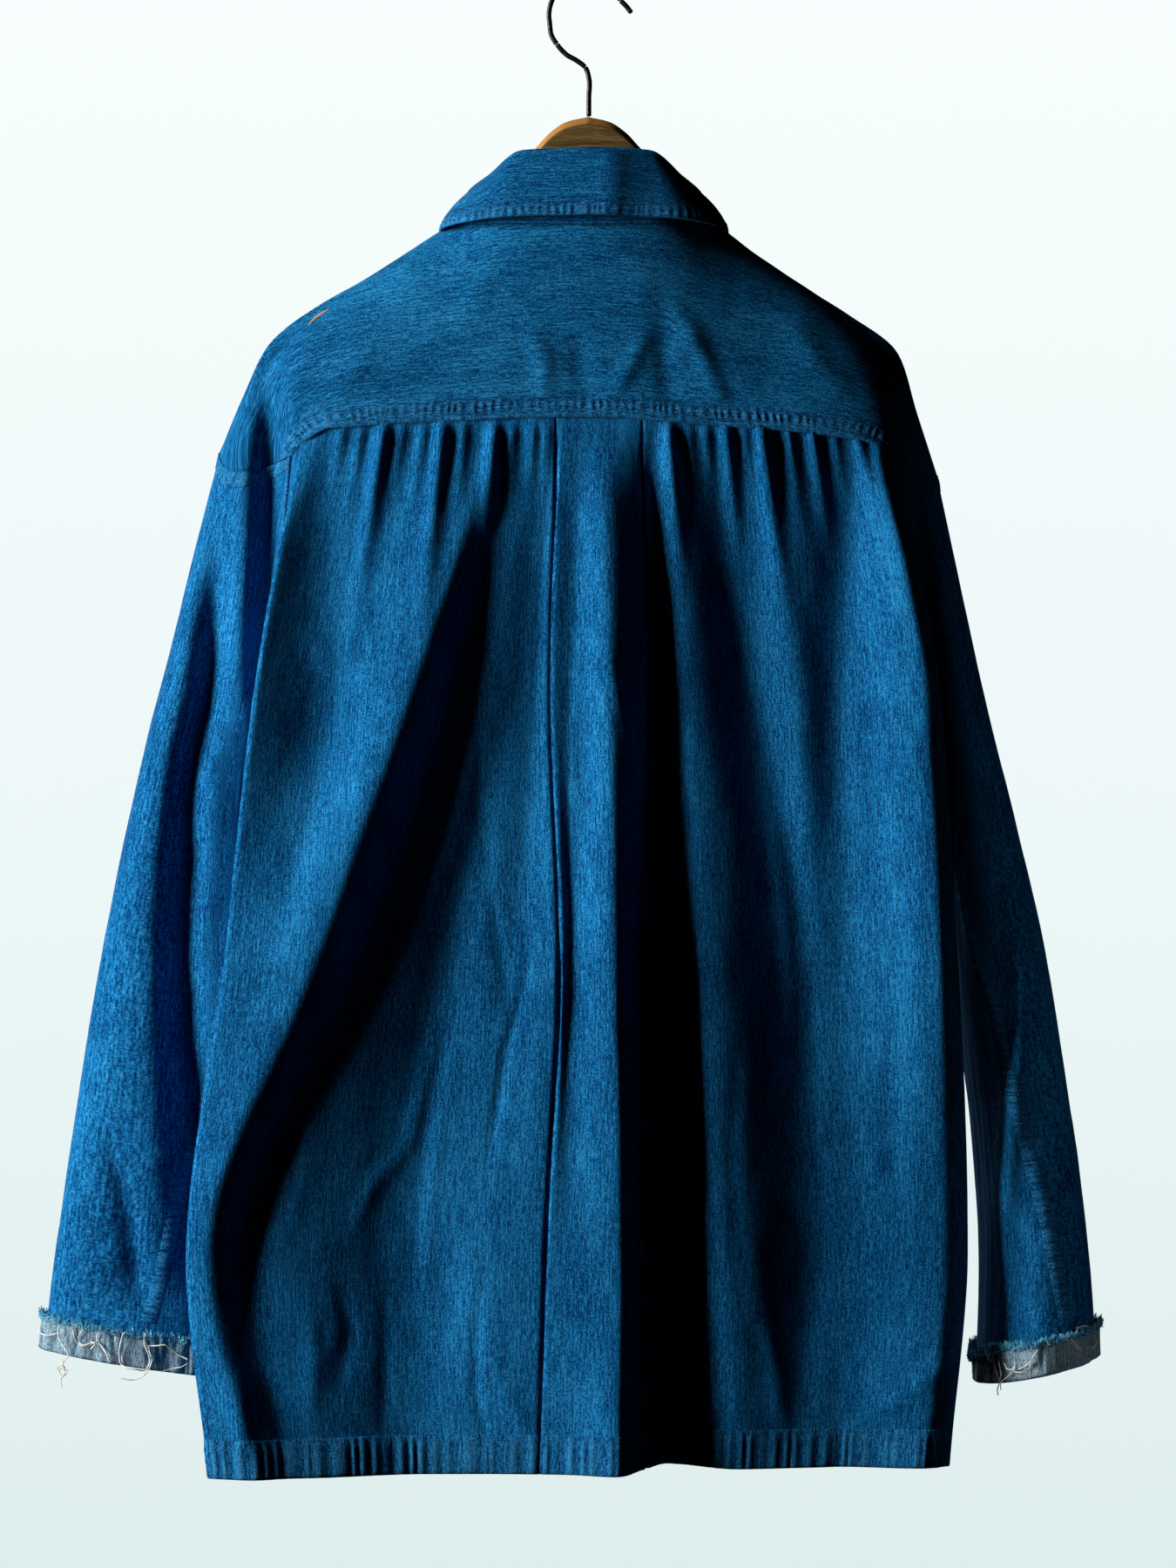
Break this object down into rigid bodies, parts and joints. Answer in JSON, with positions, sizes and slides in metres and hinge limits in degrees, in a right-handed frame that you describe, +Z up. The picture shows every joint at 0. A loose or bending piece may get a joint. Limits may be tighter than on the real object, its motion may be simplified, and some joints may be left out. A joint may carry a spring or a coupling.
{
  "type": "denim shirt on a wooden hanger",
  "caption": "Loose indigo denim shirt with dropped shoulders, a back box pleat and frayed turned-up cuffs, hanging on a plain wooden hanger.",
  "frame": {"origin": "inside top of the hanger's hook, where a rail or peg carries it", "axes": "+Z up along the hanging shirt, +X towards the wearer's left sleeve, -Y out of the shirt's front"},
  "size_m": [0.651, 0.1756, 0.9021],
  "materials": {
    "denim": "washed indigo slub twill",
    "denim_reverse": "pale reverse of the twill",
    "loose_threads": "frayed thread ends",
    "buttons": "dark satin",
    "hanger_wood": "oiled brown wood",
    "hook_wire": "dark satin steel wire"
  },
  "bodies": {
    "root": {"yoke": "denim", "back": "denim", "front_left": "denim", "front_right": "denim", "placket": "denim", "collar_stand": "denim", "collar_leaf": "denim", "sleeve_left": "denim", "sleeve_right": "denim", "turn_up_left": "denim_reverse", "turn_up_right": "denim_reverse", "frayed_edge_left": "loose_threads", "frayed_edge_right": "loose_threads", "button_1": "buttons", "button_2": "buttons", "button_3": "buttons", "button_4": "buttons", "button_5": "buttons", "button_6": "buttons", "hanger_body": "hanger_wood", "hanger_hook": "hook_wire"}
  },
  "joints": []
}
